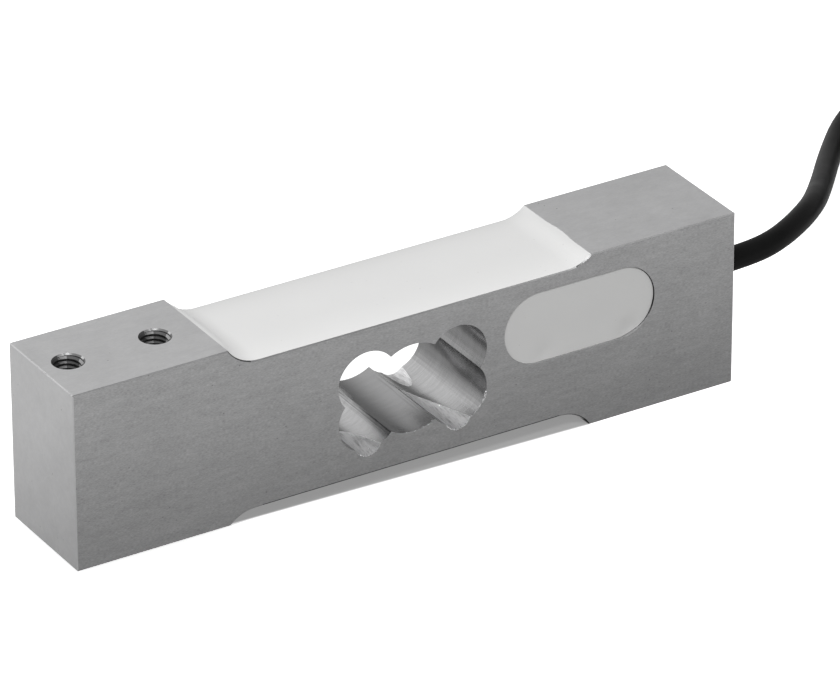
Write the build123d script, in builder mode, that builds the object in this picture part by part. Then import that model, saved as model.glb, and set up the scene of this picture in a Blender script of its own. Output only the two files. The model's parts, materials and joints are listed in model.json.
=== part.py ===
from build123d import *
import os
from math import acos, cos, degrees, pi, radians, sin, tan

# Single-point weighing load cell: a machined aluminium bar with a five-lobed cut-out, strain gauges
# under silicone, a potted side pocket and one cable. Millimetres, +X towards the cable end, +Z up,
# the pocket faces -Y. The origin is under the middle of the bar, at its lowest face.

os.makedirs("parts", exist_ok=True)

# Bar
body_length = 150.0
body_width = 25.0
overall_height = 39.8
load_pad_step = 1.7
base_pad_step = 1.5
block_length = 33.9
top_recess_depth = 3.75
bottom_recess_depth = 3.85
recess_corner_r = 8.0
edge_break = 0.2

# Cut-out through the width: four corner holes and one centre hole, just off the bar's middle
cutout_x = 0.15
cutout_above_middle = 0.05
lobe_spacing_x = 20.5
lobe_spacing_z = 8.4
lobe_r = 6.65
centre_hole_r = 9.65

# Filed relief at the foot of each lower lobe: which lobe, which side (1 is the pocket's), bite at the
# face, length along the wall, and the angle from straight down at which the file leaves the wall
file_r = 3.0
file_overrun = 3.0
filed_reliefs = [
    (-1, 1, 1.25, 8.5, -10.0),
    (1, 1, 1.25, 14.7, -24.0),
    (-1, -1, 0.6, 6.0, 0.0),
    (1, -1, 0.6, 6.0, 0.0),
]

# Tapped M6 holes, two in each block
bolt_spacing = 19.0
bolt_end_distance = 6.0
bolt_r = 3.0
bolt_core_r = 2.5
bolt_mouth_r = 3.3
load_thread_depth = 17.0
base_thread_depth = 12.0
drill_run_on = 2.0
drill_point_angle = 118.0

# Side pocket, wire channel and cable hole, placed from the cable's end and from the recess's floor
pocket_from_end = 36.4
pocket_below_recess = 10.85
pocket_between_centres = 19.3
pocket_height = 15.7
pocket_depth = 14.0
pocket_fill_below_face = 0.25
channel_from_end = 47.0
channel_y = -5.0
channel_r = 1.5
cable_y = -3.0
cable_below_recess = 14.15
cable_r = 2.5
cable_hole_r = 2.6
cable_hole_mouth_r = 4.0
cable_stub_length = 24.5
seal_height = 0.9

# Silicone over the gauges
potting_crown = 1.0
potting_floor_clearance = 0.3

# Strain gauges and terminal strips
gauge_length = 9.0
gauge_width = 6.0
gauge_corner_r = 0.6
gauge_thickness = 0.12
foil_thickness = 0.04
grid_line_length = 4.6
grid_line_width = 0.35
grid_line_pitch = 0.6
grid_lines = 6
grid_offset = 1.0
tab_size = 1.3
tab_pitch = 2.6
tab_offset = 3.4
strip_length = 7.0
strip_width = 6.0
strip_thickness = 0.25
strip_corner_r = 0.5
wire_lift = 0.04
joint_r = 0.5
joint_height = 0.55
joint_taper = 25.0
jumper_joint_x = 2.75
jumper_r = 0.12
jumper_rise = 0.5
jumper_bend_r = 0.8
lead_r = 0.2
lead_pitch = 0.7
lead_joint_pitch = 1.2
lead_joint_y = 2.35
lead_bend_r = 0.9

# Compensation board in the pocket
board_length = 20.0
board_height = 12.0
board_thickness = 1.0
board_corner_r = 0.8
board_from_end = 40.4
board_joint_r = 0.55
board_core_joint_r = 0.8
board_joint_height = 0.8
board_joint_taper = 12.0
board_lead_pitch = 1.3
board_lead_farthest = 4.8
bobbin_r = 1.2
bobbin_length = 5.0
bobbin_offset_x = 1.4
bobbin_offset_z = 3.6
bobbin_lead_r = 0.25
bobbin_lead_bend_r = 0.5
bobbin_lead_out = 0.8
bobbin_flange = 0.4
chip_length = 3.2
chip_width = 1.6
chip_height = 0.6
chip_offset_x = 1.4
chip_pitch_x = 5.0

# Cable cores
core_r = 0.55
core_pitch = 1.5
core_pad_offset_x = 7.9
core_pad_pitch = 1.8
core_pad_lowest = -4.6
core_straight = 2.5
core_bend_r = 1.2
drain_r = 0.2
drain_offset = 1.65

# Free cable beyond the end face: x from that face, y and z in the bar's frame
route_beyond_end = [
    (19.9, 0.1, 21.6),
    (34.3, 10.4, 19.8),
    (49.8, 29.2, 12.6),
    (66.4, 50.4, 5.6),
    (83.0, 68.6, 2.5),
    (97.6, 77.4, 2.5),
    (108.5, 82.1, 3.2),
]
first_run = 10.1

# Coil of the stored length: radii of the turns, the lower layer and the one on it
lower_turns = [35.0, 30.0, 25.0]
upper_turns = [32.5, 27.5]
turn_slack = 0.1
tie_thickness = 0.6
tie_width = 3.0
tie_angles = [85.0, 250.0]
tie_head_width = 4.2
tie_head_height = 3.4
tie_head_depth = 2.6
tie_head_corner_r = 0.4

# Free end: angle, radius and height about the coil's middle, then the stripped end
tail_route = [
    (58.0, 31.8, 7.0),
    (39.0, 34.0, 8.7),
    (18.0, 37.6, 8.6),
    (-4.0, 41.0, 5.8),
    (-25.0, 41.8, 2.7),
    (-46.0, 41.2, 2.8),
    (-66.0, 41.4, 2.9),
    (-80.0, 42.0, 2.9),
]
sleeve_length = 13.0
sleeve_over_cable = 5.0
sleeve_wall = 0.35
sleeve_neck_r = 1.75
sleeve_shoulder = 2.0
end_core_length = 26.0
end_core_flat = 6.0
end_core_pitch = 1.2
end_core_fan = 2.6
end_core_spread = 0.4
end_core_bend_r = 6.0
tip_length = 6.0
tip_r = 0.35

# Worked out from the sizes above
half_length = body_length / 2
half_width = body_width / 2
recess_edge = half_length - block_length
left_top = overall_height
left_bottom = base_pad_step
right_top = overall_height - load_pad_step
right_bottom = 0.0
middle_top = overall_height - top_recess_depth
middle_bottom = bottom_recess_depth
cutout_z = (middle_top + middle_bottom) / 2 + cutout_above_middle
pocket_x = half_length - pocket_from_end
pocket_z = middle_top - pocket_below_recess
channel_x = half_length - channel_from_end
cable_z = middle_top - cable_below_recess
cable_stub_end = half_length - cable_stub_length
board_x = half_length - board_from_end
bobbin_x = board_x + bobbin_offset_x
chip_x = board_x + chip_offset_x
core_pad_x = board_x + core_pad_offset_x
pocket_floor_y = -half_width + pocket_depth
board_face_y = pocket_floor_y - board_thickness
load_bolts_x = [-half_length + bolt_end_distance, -half_length + bolt_end_distance + bolt_spacing]
base_bolts_x = [-x for x in load_bolts_x]


def wall_turn(depth):
    """Angle through which a recess wall curves before it meets the block, degrees"""
    return degrees(acos((recess_corner_r - depth) / recess_corner_r))


def wall_reach(depth):
    """How far that curved wall reaches along the bar"""
    return recess_corner_r * sin(radians(wall_turn(depth)))


def recess_line(level, left_depth, right_depth, outward):
    """One recess as an arc, a straight and an arc; outward is 1 for the top and -1 underneath"""
    left = JernArc(
        (-recess_edge + wall_reach(left_depth), level),
        (-1, 0),
        recess_corner_r,
        -outward * wall_turn(left_depth),
    )
    right = JernArc(
        (recess_edge - wall_reach(right_depth), level),
        (1, 0),
        recess_corner_r,
        outward * wall_turn(right_depth),
    )
    Line(left @ 0, right @ 0)
    return left @ 1, right @ 1


top_depths = (left_top - middle_top, right_top - middle_top)
bottom_depths = (middle_bottom - left_bottom, middle_bottom - right_bottom)


def route_radii(points):
    """Bend radius at each inner point: 0.45 of the shorter run over the tangent of half the turn"""
    radii = []
    for before, at, after in zip(points, points[1:], points[2:]):
        run_in, run_out = Vector(at) - Vector(before), Vector(after) - Vector(at)
        half_turn = radians(run_in.get_angle(run_out)) / 2
        radii.append(0.45 * min(run_in.length, run_out.length) / tan(half_turn))
    return radii


def tube(points, radius, bends):
    """Round bar along straight runs joined by tangent arcs"""
    with BuildPart() as round_bar:
        with BuildLine() as path:
            if bends:
                FilletPolyline(*points, radius=bends)
            else:
                Line(*points)
        with BuildSketch(Plane(origin=path.wire() @ 0, z_dir=path.wire() % 0)):
            Circle(radius)
        sweep(path=path.wire())
    return round_bar.part, path.wire().length


def write(part, name):
    part.label = name
    export_step(part, f"parts/{name}.step")
    return part


# Tapped hole, as the drill and tap leave it, pointing down from its mouth
def hole_cutter(thread_depth):
    drill_depth = thread_depth + drill_run_on
    point = bolt_core_r / tan(radians(drill_point_angle / 2))
    with BuildPart() as cutter:
        with BuildSketch(Plane.XZ):
            with BuildLine():
                Polyline(
                    (0, 0),
                    (bolt_mouth_r, 0),
                    (bolt_r, -(bolt_mouth_r - bolt_r)),
                    (bolt_r, -thread_depth),
                    (bolt_core_r, -thread_depth - (bolt_r - bolt_core_r)),
                    (bolt_core_r, -drill_depth),
                    (0, -drill_depth - point),
                    close=True,
                )
            make_face()
        revolve(axis=Axis.Z)
    return cutter.part


load_hole = hole_cutter(load_thread_depth)
base_hole = hole_cutter(base_thread_depth)

# The bar, milled from one aluminium block
with BuildPart() as beam:
    with BuildSketch(Plane.XZ):
        with BuildLine():
            top_left_end, top_right_end = recess_line(middle_top, *top_depths, 1)
            bottom_left_end, bottom_right_end = recess_line(middle_bottom, *bottom_depths, -1)
            Polyline(
                bottom_right_end, (half_length, right_bottom), (half_length, right_top), top_right_end
            )
            Polyline(top_left_end, (-half_length, left_top), (-half_length, left_bottom), bottom_left_end)
        make_face()
    extrude(amount=half_width, both=True)
    side_faces = beam.faces().sort_by(Axis.Y)
    outline = side_faces[0].edges() + side_faces[-1].edges()
    end_faces = beam.faces().sort_by(Axis.X)
    cross_edges = (end_faces[0].edges() + end_faces[-1].edges()).filter_by(Axis.Y)
    chamfer(outline + cross_edges, length=edge_break)

    with BuildSketch(Plane.XZ):
        with Locations((cutout_x, cutout_z)):
            Circle(centre_hole_r)
            with GridLocations(lobe_spacing_x, lobe_spacing_z, 2, 2):
                Circle(lobe_r)
    extrude(amount=half_width, both=True, mode=Mode.SUBTRACT)

    # The file is held aslant: it bites deepest at the face and runs out on the lobe's wall
    file_room = lobe_r - file_r
    lobe_z = cutout_z - lobe_spacing_z / 2
    for end, side, bite, reach, lean in filed_reliefs:
        lobe_x = cutout_x + end * lobe_spacing_x / 2
        at_face = Vector(lobe_x, -side * half_width, lobe_z - file_room - bite)
        at_wall = Vector(
            lobe_x + file_room * sin(radians(lean)),
            -side * (half_width - reach),
            lobe_z - file_room * cos(radians(lean)),
        )
        stroke = at_wall - at_face
        away = stroke.normalized() * file_overrun
        with Locations(Plane(origin=at_face - away, z_dir=stroke)):
            Cylinder(
                file_r,
                stroke.length + 2 * file_overrun,
                align=(Align.CENTER, Align.CENTER, Align.MIN),
                mode=Mode.SUBTRACT,
            )

    with BuildSketch(Plane.XZ.offset(half_width)):
        with Locations((pocket_x, pocket_z)):
            SlotCenterToCenter(pocket_between_centres, pocket_height)
    extrude(amount=-pocket_depth, mode=Mode.SUBTRACT)

    with Locations((channel_x, channel_y, middle_top)):
        Hole(channel_r, depth=middle_top - middle_bottom)
    with Locations(Plane(origin=(half_length, cable_y, cable_z), z_dir=(1, 0, 0))):
        CounterSinkHole(cable_hole_r, cable_hole_mouth_r, depth=half_length - cable_stub_end)

    for x in load_bolts_x:
        with Locations((x, 0, left_top)):
            add(load_hole, mode=Mode.SUBTRACT)
    for x in base_bolts_x:
        with Locations(Location((x, 0, right_bottom), (180, 0, 0))):
            add(base_hole, mode=Mode.SUBTRACT)
write(beam.part, "beam")


# Foil strain gauge: a polyimide carrier with an etched grid and two solder tabs
def strain_gauge(x, level, outward, toward):
    plane = Plane(origin=(x, 0, level), x_dir=(toward, 0, 0), z_dir=(0, 0, outward))
    with BuildPart() as gauge:
        with BuildSketch(plane):
            RectangleRounded(gauge_length, gauge_width, gauge_corner_r)
        extrude(amount=gauge_thickness)
        with BuildSketch(plane.offset(gauge_thickness)):
            with Locations((-grid_offset, 0)):
                with GridLocations(1, grid_line_pitch, 1, grid_lines):
                    Rectangle(grid_line_length, grid_line_width)
            with Locations((tab_offset, 0)):
                with GridLocations(1, tab_pitch, 1, 2):
                    Rectangle(tab_size, tab_size)
        extrude(amount=foil_thickness)
    return gauge.part


gauge_top = gauge_thickness + foil_thickness
gauge_places = {
    "top_left": (cutout_x - lobe_spacing_x / 2, middle_top, 1, 1),
    "top_right": (cutout_x + lobe_spacing_x / 2, middle_top, 1, -1),
    "bottom_left": (cutout_x - lobe_spacing_x / 2, middle_bottom, -1, 1),
    "bottom_right": (cutout_x + lobe_spacing_x / 2, middle_bottom, -1, -1),
}
under_silicone = {1: [], -1: []}
for place, (x, level, outward, toward) in gauge_places.items():
    part = write(strain_gauge(x, level, outward, toward), f"strain_gauge_{place}")
    under_silicone[outward].append(part)


# Terminal strip midway between the gauges
for name, level, outward in (("top", middle_top, 1), ("bottom", middle_bottom, -1)):
    with BuildPart() as strip:
        with BuildSketch(Plane.XY.offset(level)):
            with Locations((cutout_x, 0)):
                RectangleRounded(strip_length, strip_width, strip_corner_r)
        extrude(amount=outward * strip_thickness)
    under_silicone[outward].append(write(strip.part, f"{name}_terminal_strip"))

# Bare jumpers from each gauge's two tabs to the strip
jumper_wires = {1: [], -1: []}
for place, (x, level, outward, toward) in gauge_places.items():
    wires = []
    joint_x = cutout_x - toward * jumper_joint_x
    tab_x = x + toward * tab_offset
    for y in (-tab_pitch / 2, tab_pitch / 2):
        start = (tab_x, y, level + outward * (gauge_top + wire_lift + jumper_r))
        hump = ((tab_x + joint_x) / 2, y, level + outward * (gauge_top + jumper_rise))
        end = (joint_x, y, level + outward * (strip_thickness + wire_lift + jumper_r))
        wires.append(tube([start, hump, end], jumper_r, [jumper_bend_r])[0])
    write(Compound(children=wires), f"gauge_jumpers_{place}")
    jumper_wires[outward] += wires

# Insulated leads: off the strip, along the recess, down the channel and across to the board
lead_wires = {1: [], -1: []}
for name, level, outward in (("top", middle_top, 1), ("bottom", middle_bottom, -1)):
    run_z = level + outward * (strip_thickness + wire_lift + lead_r)
    for k in range(4):
        joint_x = cutout_x + (1.5 - k) * lead_joint_pitch
        wire_y = channel_y + (1.5 - k) * lead_pitch
        pad_z = pocket_z + outward * (board_lead_farthest - k * board_lead_pitch)
        points = [
            (joint_x, -lead_joint_y, run_z),
            (joint_x, wire_y, run_z),
            (channel_x, wire_y, run_z),
            (channel_x, wire_y, pad_z),
            (channel_x, board_face_y - board_joint_height / 2, pad_z),
        ]
        wire = tube(points, lead_r, [lead_bend_r] * 3)[0]
        lead_wires[outward].append(write(wire, f"{name}_gauge_lead_{k + 1}"))

# Solder joints on each strip, formed round the ends of its wires
def formed_round(blobs, wires):
    """The solder blobs without the wires that end in them"""
    with BuildPart() as joints:
        add(blobs)
        for wire in wires:
            add(wire, mode=Mode.SUBTRACT)
    return joints.part


for name, level, outward in (("top", middle_top, 1), ("bottom", middle_bottom, -1)):
    jumper_places = [
        (cutout_x + end * jumper_joint_x, side * tab_pitch / 2) for end in (-1, 1) for side in (-1, 1)
    ]
    lead_places = [(cutout_x + (1.5 - k) * lead_joint_pitch, -lead_joint_y) for k in range(4)]
    wires = jumper_wires[outward] + lead_wires[outward]
    with BuildPart() as blobs:
        with BuildSketch(Plane.XY.offset(level + outward * strip_thickness)):
            with Locations(*jumper_places, *lead_places):
                Circle(joint_r)
        extrude(amount=outward * joint_height, taper=joint_taper)
    under_silicone[outward] += [blobs.part] + wires
    write(formed_round(blobs.part, wires), f"{name}_solder_joints")

# Compensation board, bonded to the pocket's floor
board_plane = Plane.XZ.offset(-board_face_y)
with BuildPart() as board:
    with BuildSketch(board_plane):
        with Locations((board_x, pocket_z)):
            RectangleRounded(board_length, board_height, board_corner_r)
    extrude(amount=-board_thickness)
in_pocket = [write(board.part, "compensation_board")]

# Two wire-wound compensation resistors on flanged bobbins
for number, side in ((1, -1), (2, 1)):
    bobbin_y = board_face_y - bobbin_r
    bobbin_z = pocket_z + side * bobbin_offset_z
    with BuildPart() as resistor:
        with Locations(Location((bobbin_x, bobbin_y, bobbin_z), (0, 90, 0))):
            Cylinder(bobbin_r - bobbin_flange, bobbin_length)
        for end in (-1, 1):
            flange_x = bobbin_x + end * (bobbin_length - bobbin_flange) / 2
            with Locations(Location((flange_x, bobbin_y, bobbin_z), (0, 90, 0))):
                Cylinder(bobbin_r, bobbin_flange)
            face_x = bobbin_x + end * bobbin_length / 2
            foot_x = face_x + end * bobbin_lead_out
            points = [
                (face_x, bobbin_y, bobbin_z),
                (foot_x, bobbin_y, bobbin_z),
                (foot_x, board_face_y, bobbin_z),
            ]
            add(tube(points, bobbin_lead_r, [bobbin_lead_bend_r])[0])
    in_pocket.append(write(resistor.part, f"span_resistor_{number}"))

# Two trimmed chip resistors
for name, side in (("zero_trim_resistor", -1), ("balance_trim_resistor", 1)):
    with BuildPart() as chip:
        with BuildSketch(board_plane):
            with Locations((chip_x + side * chip_pitch_x / 2, pocket_z)):
                Rectangle(chip_length, chip_width)
        extrude(amount=chip_height)
    in_pocket.append(write(chip.part, name))

# Cable stub through the end block, and its four cores and drain wire out to the board
with BuildPart() as stub:
    with BuildSketch(Plane.YZ.offset(cable_stub_end)):
        with Locations((cable_y, cable_z)):
            Circle(cable_r)
    extrude(amount=half_length - cable_stub_end)
in_pocket.append(write(stub.part, "cable_stub"))

board_wires = []
core_colours = ["red", "black", "green", "white"]
core_places = [(-core_pitch / 2, -core_pitch / 2), (core_pitch / 2, -core_pitch / 2)]
core_places += [(core_pitch / 2, core_pitch / 2), (-core_pitch / 2, core_pitch / 2)]


def wire_to_board(name, start_y, start_z, pad_z, radius):
    points = [
        (cable_stub_end, start_y, start_z),
        (cable_stub_end - core_straight, start_y, start_z),
        (core_pad_x, start_y, pad_z),
        (core_pad_x, board_face_y - board_joint_height / 2, pad_z),
    ]
    return write(tube(points, radius, [core_bend_r] * 2)[0], name)


for k, (colour, (side_y, side_z)) in enumerate(zip(core_colours, core_places)):
    pad_z = pocket_z + core_pad_lowest + k * core_pad_pitch
    core = wire_to_board(f"inner_core_{colour}", cable_y + side_y, cable_z + side_z, pad_z, core_r)
    board_wires.append(core)
drain_pad_z = pocket_z + core_pad_lowest + 4 * core_pad_pitch
drain = wire_to_board("inner_drain_wire", cable_y, cable_z + drain_offset, drain_pad_z, drain_r)
board_wires.append(drain)

# Solder joints on the board, formed round the ends of the leads and cores
lead_rows = [pocket_z + o * (board_lead_farthest - k * board_lead_pitch) for o in (1, -1) for k in range(4)]
core_rows = [pocket_z + core_pad_lowest + k * core_pad_pitch for k in range(5)]
with BuildPart() as board_blobs:
    with BuildSketch(board_plane):
        with Locations(*[(channel_x, z) for z in lead_rows]):
            Circle(board_joint_r)
        with Locations(*[(core_pad_x, z) for z in core_rows]):
            Circle(board_core_joint_r)
    extrude(amount=board_joint_height, taper=board_joint_taper)
board_wires += lead_wires[1] + lead_wires[-1]
in_pocket += [board_blobs.part] + board_wires
write(formed_round(board_blobs.part, board_wires), "board_solder_joints")


# Silicone with a crowned top that follows a recess and climbs both of its end walls
def recess_potting(level, depths, outward, left_limit, right_limit):
    width = body_width - 2 * edge_break
    with BuildPart() as potting:
        with BuildLine(Plane.XZ) as path:
            recess_line(level, *depths, outward)
        heading = path.wire() % 0
        across = Plane(origin=path.wire() @ 0, x_dir=(0, outward * heading.X, 0), z_dir=heading)
        with BuildSketch(across):
            with BuildLine():
                Line((-width / 2, 0), (width / 2, 0))
                ThreePointArc((-width / 2, 0), (0, potting_crown), (width / 2, 0))
            make_face()
        sweep(path=path.wire())
        beyond = (Align.CENTER, Align.CENTER, Align.MIN if outward > 0 else Align.MAX)
        for end, limit in ((-1, left_limit), (1, right_limit)):
            with Locations((end * recess_edge, 0, limit)):
                Box(2 * recess_edge, body_width, overall_height, align=beyond, mode=Mode.SUBTRACT)
        for piece in under_silicone[outward]:
            add(piece, mode=Mode.SUBTRACT)
    return potting.part


write(recess_potting(middle_top, top_depths, 1, left_top, right_top), "top_potting")
write(
    recess_potting(middle_bottom, bottom_depths, -1, left_bottom, right_bottom + potting_floor_clearance),
    "bottom_potting",
)

# Silicone that fills the side pocket round everything in it
with BuildPart() as pocket_potting:
    with BuildSketch(Plane.XZ.offset(-pocket_floor_y)):
        with Locations((pocket_x, pocket_z)):
            SlotCenterToCenter(pocket_between_centres, pocket_height)
    extrude(amount=pocket_depth - pocket_fill_below_face)
    for piece in in_pocket:
        add(piece, mode=Mode.SUBTRACT)
write(pocket_potting.part, "pocket_potting")

# Bead of sealant in the mouth of the cable hole
with BuildPart() as seal:
    with BuildSketch(Plane(origin=(half_length, cable_y, cable_z), x_dir=(1, 0, 0), z_dir=(0, -1, 0))):
        with BuildLine():
            Polyline(
                (seal_height, cable_r),
                (cable_hole_r - cable_hole_mouth_r, cable_r),
                (cable_hole_r - cable_hole_mouth_r, cable_hole_r),
                (0, cable_hole_mouth_r),
            )
            RadiusArc((0, cable_hole_mouth_r), (seal_height, cable_r), -2 * seal_height)
        make_face()
    revolve(axis=Axis((half_length, cable_y, cable_z), (1, 0, 0)))
write(seal.part, "cable_entry_seal")

# Free cable, from the end face to the coil
exit_point = (half_length, cable_y, cable_z)
route = [exit_point, (half_length + first_run, cable_y, cable_z)]
route += [(half_length + x, y, z) for x, y, z in route_beyond_end]
radii = route_radii(route)
cable_tube, tube_length = tube(route, cable_r, radii)
write(cable_tube, "cable_tube")

# The coil's middle lies to the right of the cable's last run
last_run = Vector(*route[-1]) - Vector(*route[-2])
heading = Vector(last_run.X, last_run.Y, 0).normalized()
coil_x = route[-1][0] + lower_turns[0] * heading.Y
coil_y = route[-1][1] - lower_turns[0] * heading.X
lower_z = tie_thickness + turn_slack + cable_r
upper_z = lower_z + cable_r * 3**0.5
tail = [(coil_x + r * cos(radians(a)), coil_y + r * sin(radians(a)), z) for a, r, z in tail_route]
tail_radii = route_radii(tail)
cable_tail, tail_length = tube(tail, cable_r, tail_radii)
write(cable_tail, "cable_tail")


def turns_outline(gap):
    """Outline round the stacked turns with a gap outside them: radius across, height up"""
    with BuildSketch() as outline:
        with BuildLine():
            Polyline(
                (lower_turns[-1], lower_z),
                (lower_turns[0], lower_z),
                (upper_turns[0], upper_z),
                (upper_turns[-1], upper_z),
                close=True,
            )
        make_face()
        offset(amount=cable_r + gap, kind=Kind.ARC)
    return outline.sketch


def upright(angle):
    """Upright plane from the coil's middle outwards"""
    out = Vector(cos(radians(angle)), sin(radians(angle)), 0)
    return Plane(origin=(coil_x, coil_y, 0), x_dir=out, z_dir=(out.Y, -out.X, 0))


turns = turns_outline(turn_slack)
strapped = turns_outline(turn_slack + tie_thickness)
coil_axis = Axis((coil_x, coil_y, 0), (0, 0, 1))
with BuildPart() as coil:
    with BuildSketch(upright(0)):
        add(turns)
    revolve(axis=coil_axis)
    add(cable_tube, mode=Mode.SUBTRACT)
    add(cable_tail, mode=Mode.SUBTRACT)
write(coil.part, "cable_coil")

# Two ties round the coil, each a strap and its lock
tie_turn = degrees(tie_width / lower_turns[1])
for number, angle in enumerate(tie_angles, 1):
    out = upright(angle).x_dir
    lock_at = Vector(coil_x, coil_y, lower_z) + out * (lower_turns[0] + cable_r + turn_slack)
    with BuildPart() as tie:
        with BuildSketch(upright(angle - tie_turn / 2)):
            add(strapped)
            add(turns, mode=Mode.SUBTRACT)
        revolve(axis=coil_axis, revolution_arc=tie_turn)
        with BuildSketch(Plane(origin=lock_at, x_dir=(-out.Y, out.X, 0), z_dir=out)):
            RectangleRounded(tie_head_width, tie_head_height, tie_head_corner_r)
        extrude(amount=tie_thickness + tie_head_depth)
        with BuildSketch(upright(0)):
            add(turns)
        revolve(axis=coil_axis, mode=Mode.SUBTRACT)
    write(tie.part, f"coil_tie_{number}")

# Stripped end: a shrunk sleeve, four cores with tinned tips and the drain wire
end_point = Vector(*tail[-1])
along = (end_point - Vector(*tail[-2])).normalized()
aside = Vector(-along.Y, along.X, 0).normalized()
upward = along.cross(aside)


def at_end(forward, sideways, up):
    return tuple(end_point + along * forward + aside * sideways + upward * up)


neck = sleeve_length - sleeve_over_cable
with BuildPart() as sleeve:
    with BuildSketch(Plane(origin=end_point, x_dir=along, z_dir=aside * -1)):
        with BuildLine():
            Polyline(
                (-sleeve_over_cable, cable_r),
                (0, cable_r),
                (0, sleeve_neck_r),
                (neck, sleeve_neck_r),
                (neck, sleeve_neck_r + sleeve_wall),
                (sleeve_shoulder, sleeve_neck_r + sleeve_wall),
                (0, cable_r + sleeve_wall),
                (-sleeve_over_cable, cable_r + sleeve_wall),
                close=True,
            )
        make_face()
    revolve(axis=Axis(end_point, along))
write(sleeve.part, "cable_sleeve")

floor_drop = core_r - end_point.Z
settled = end_core_length - end_core_flat
for k, colour in enumerate(core_colours):
    side = -end_core_pitch / 2 if k < 2 else end_core_pitch / 2
    level = end_core_pitch / 2 if k in (0, 3) else -end_core_pitch / 2
    fan = (k - 1.5) * end_core_fan
    half_way = floor_drop + (end_core_pitch if level > 0 else 0)
    points = [
        at_end(0, side, level),
        at_end(neck, side, level),
        at_end((neck + settled) / 2, (side + fan) / 2, half_way),
        at_end(settled, fan, floor_drop),
        at_end(end_core_length, fan + (k - 1.5) * end_core_spread, floor_drop),
    ]
    write(tube(points, core_r, [end_core_bend_r] * 3)[0], f"end_core_{colour}")
    tip_way = (Vector(*points[-1]) - Vector(*points[-2])).normalized()
    tip_end = Vector(*points[-1]) + tip_way * tip_length
    write(tube([points[-1], tuple(tip_end)], tip_r, [])[0], f"core_tip_{colour}")
drain_points = [
    at_end(0, 0, 0),
    at_end(neck + core_straight, 0, 0),
    at_end(end_core_length, 0, drain_r - end_point.Z),
]
write(tube(drain_points, drain_r, [end_core_bend_r])[0], "end_drain_wire")

for name, bends, length, solid in (
    ("tube", radii, tube_length, cable_tube),
    ("tail", tail_radii, tail_length, cable_tail),
):
    print(name, "radii", [round(r, 1) for r in bends], "length", round(length, 1))
    print(name, "volume over section times length", round(solid.volume / (pi * cable_r**2 * length), 5))
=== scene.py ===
import json
import random
from math import acos, cos, degrees, exp, pi, radians, sin, sqrt

import bmesh
import bpy
from mathutils import Matrix, Vector, noise


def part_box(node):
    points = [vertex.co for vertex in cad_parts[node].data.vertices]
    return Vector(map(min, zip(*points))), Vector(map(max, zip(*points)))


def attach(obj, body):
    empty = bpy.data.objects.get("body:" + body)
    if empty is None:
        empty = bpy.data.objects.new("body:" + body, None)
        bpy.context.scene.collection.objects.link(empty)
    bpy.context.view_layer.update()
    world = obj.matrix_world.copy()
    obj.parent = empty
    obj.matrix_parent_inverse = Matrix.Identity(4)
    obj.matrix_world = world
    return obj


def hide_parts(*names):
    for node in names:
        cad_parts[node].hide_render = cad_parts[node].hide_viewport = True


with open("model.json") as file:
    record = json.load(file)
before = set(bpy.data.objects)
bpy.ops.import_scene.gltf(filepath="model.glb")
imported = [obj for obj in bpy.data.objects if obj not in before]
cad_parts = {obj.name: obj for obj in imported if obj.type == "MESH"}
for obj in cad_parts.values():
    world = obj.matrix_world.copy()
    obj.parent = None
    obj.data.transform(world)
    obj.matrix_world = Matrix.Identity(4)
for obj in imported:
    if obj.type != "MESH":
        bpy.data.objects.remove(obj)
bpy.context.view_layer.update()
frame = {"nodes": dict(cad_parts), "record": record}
nodes = frame["nodes"]
mm = 0.001

# The bar: one block of aluminium, sawn from extruded stock and milled on all its faces. The two wide
# sides are brushed along their length, the pads and ends are left satin from the face mill, and the
# cut-out's walls keep the ring marks of the boring head.
bar_low, bar_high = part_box("beam")
cutout_x = 0.15 * mm
cutout_z = 20.0 * mm
lobe_spacing_x = 20.5 * mm
lobe_spacing_z = 8.4 * mm
lobe_r = 6.65 * mm
centre_hole_r = 9.65 * mm


def shader_step(tree, kind, wires=(), **settings):
    """Adds one node to a shader tree; wires gives its inputs a value or another node's socket"""
    step = tree.nodes.new(kind)
    for name, value in settings.items():
        setattr(step, name, value)
    for name, value in dict(wires).items():
        if isinstance(value, bpy.types.NodeSocket):
            tree.links.new(value, step.inputs[name])
        else:
            step.inputs[name].default_value = value
    return step


def sums(tree, operation, first, second=None, third=None):
    """One arithmetic step, and its result"""
    given = {0: first, 1: second, 2: third}
    wires = {place: value for place, value in given.items() if value is not None}
    return shader_step(tree, "ShaderNodeMath", wires, operation=operation).outputs[0]


def band(tree, value, low, high):
    """0 below low, 1 above high, smooth between them"""
    wires = {"Value": value, "From Min": low, "From Max": high}
    return shader_step(tree, "ShaderNodeMapRange", wires, interpolation_type="SMOOTHSTEP").outputs[0]


def blend(tree, share, first, second):
    """Between two values by a share from 0 to 1"""
    wires = {"Factor": share, "A": first, "B": second}
    return shader_step(tree, "ShaderNodeMix", wires, data_type="FLOAT").outputs["Result"]


def effect_group(name, asks, gives):
    """A node group with named inputs (name, kind, value) and outputs (name, kind)"""
    tree = bpy.data.node_groups.new(name, "ShaderNodeTree")
    for socket_name, kind, value in asks:
        socket = tree.interface.new_socket(name=socket_name, in_out="INPUT", socket_type=kind)
        socket.default_value = value
    for socket_name, kind in gives:
        tree.interface.new_socket(name=socket_name, in_out="OUTPUT", socket_type=kind)
    return tree, tree.nodes.new("NodeGroupInput").outputs, tree.nodes.new("NodeGroupOutput").inputs


def use_group(tree, group, wires):
    """Places an effect group in a material and gives back its outputs"""
    step = tree.nodes.new("ShaderNodeGroup")
    step.node_tree = group
    for name, value in wires.items():
        if isinstance(value, bpy.types.NodeSocket):
            tree.links.new(value, step.inputs[name])
        else:
            step.inputs[name].default_value = value
    return step.outputs


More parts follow.
